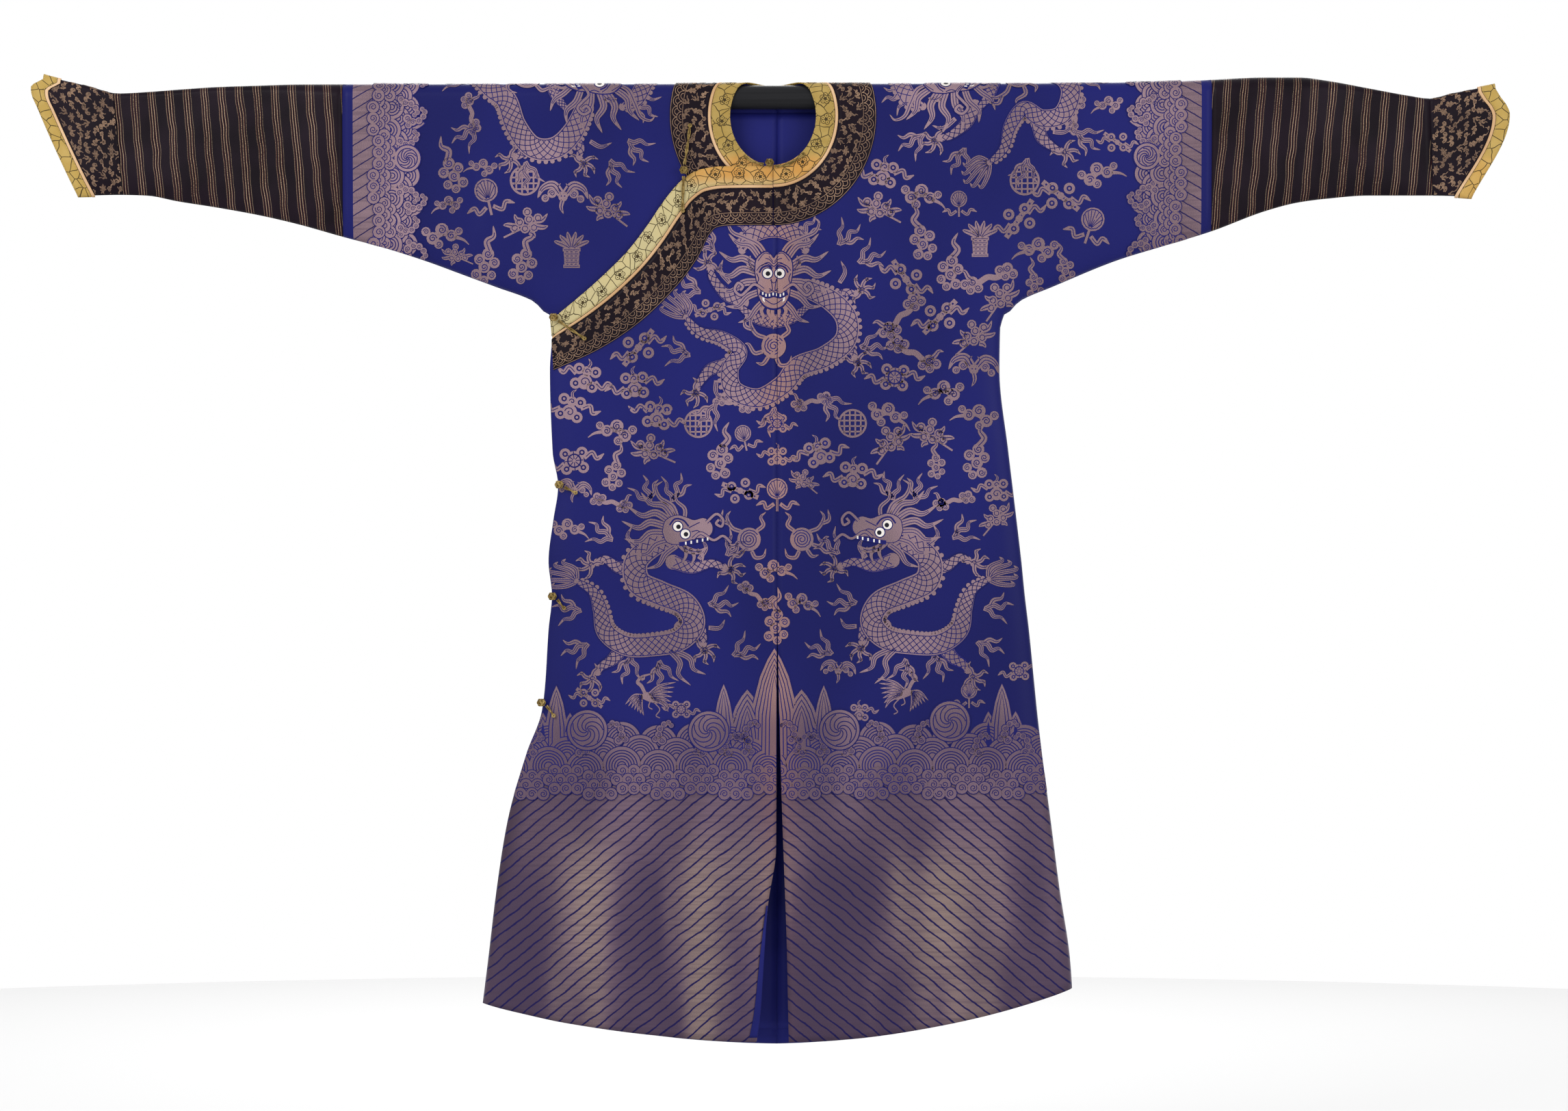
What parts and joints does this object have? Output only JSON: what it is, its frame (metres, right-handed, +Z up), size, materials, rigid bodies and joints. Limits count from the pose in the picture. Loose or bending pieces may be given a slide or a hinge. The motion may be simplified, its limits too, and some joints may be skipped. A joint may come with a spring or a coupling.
{
  "type": "dragon robe on a rod",
  "caption": "Long silk robe with side-fastening overlap, figured with dragons, clouds and waves, hung flat on a straight rod through its sleeves.",
  "frame": {"origin": "the rod's axis at the middle of the robe's neck", "axes": "+Z up, the robe's front faces -Y, +X along the rod to the right of someone who looks at the front"},
  "size_m": [2.1536, 0.0601, 1.4194],
  "materials": {
    "blue_figured_satin": "satin",
    "plum_figured_satin": "satin",
    "striped_satin": "satin",
    "yellow_figured_satin": "satin",
    "peach_satin": "satin",
    "plain_blue_silk": "satin",
    "gold_cord": "satin",
    "satin_black": "satin"
  },
  "bodies": {
    "root": {"half_left": "blue_figured_satin", "half_right": "blue_figured_satin", "overlap_front": "blue_figured_satin", "neck_band": "plum_figured_satin", "overlap_band": "plum_figured_satin", "cuff_left": "plum_figured_satin", "cuff_right": "plum_figured_satin", "sleeve_extension_left": "striped_satin", "sleeve_extension_right": "striped_satin", "neck_trim": "yellow_figured_satin", "overlap_trim": "yellow_figured_satin", "cuff_trim_left": "yellow_figured_satin", "cuff_trim_right": "yellow_figured_satin", "neck_piping": "peach_satin", "overlap_piping": "peach_satin", "cuff_piping_left": "peach_satin", "cuff_piping_right": "peach_satin", "lining_left": "plain_blue_silk", "lining_right": "plain_blue_silk", "slit_lining": "plain_blue_silk", "knot_neck": "gold_cord", "knot_corner": "gold_cord", "knot_underarm": "gold_cord", "knot_side_1": "gold_cord", "knot_side_2": "gold_cord", "knot_side_3": "gold_cord", "loop_neck_left": "gold_cord", "loop_neck_right": "gold_cord", "loop_corner_up": "gold_cord", "loop_corner_down": "gold_cord", "loop_underarm": "gold_cord", "loop_side_1": "gold_cord", "loop_side_2": "gold_cord", "loop_side_3": "gold_cord", "rod": "satin_black"}
  },
  "joints": []
}
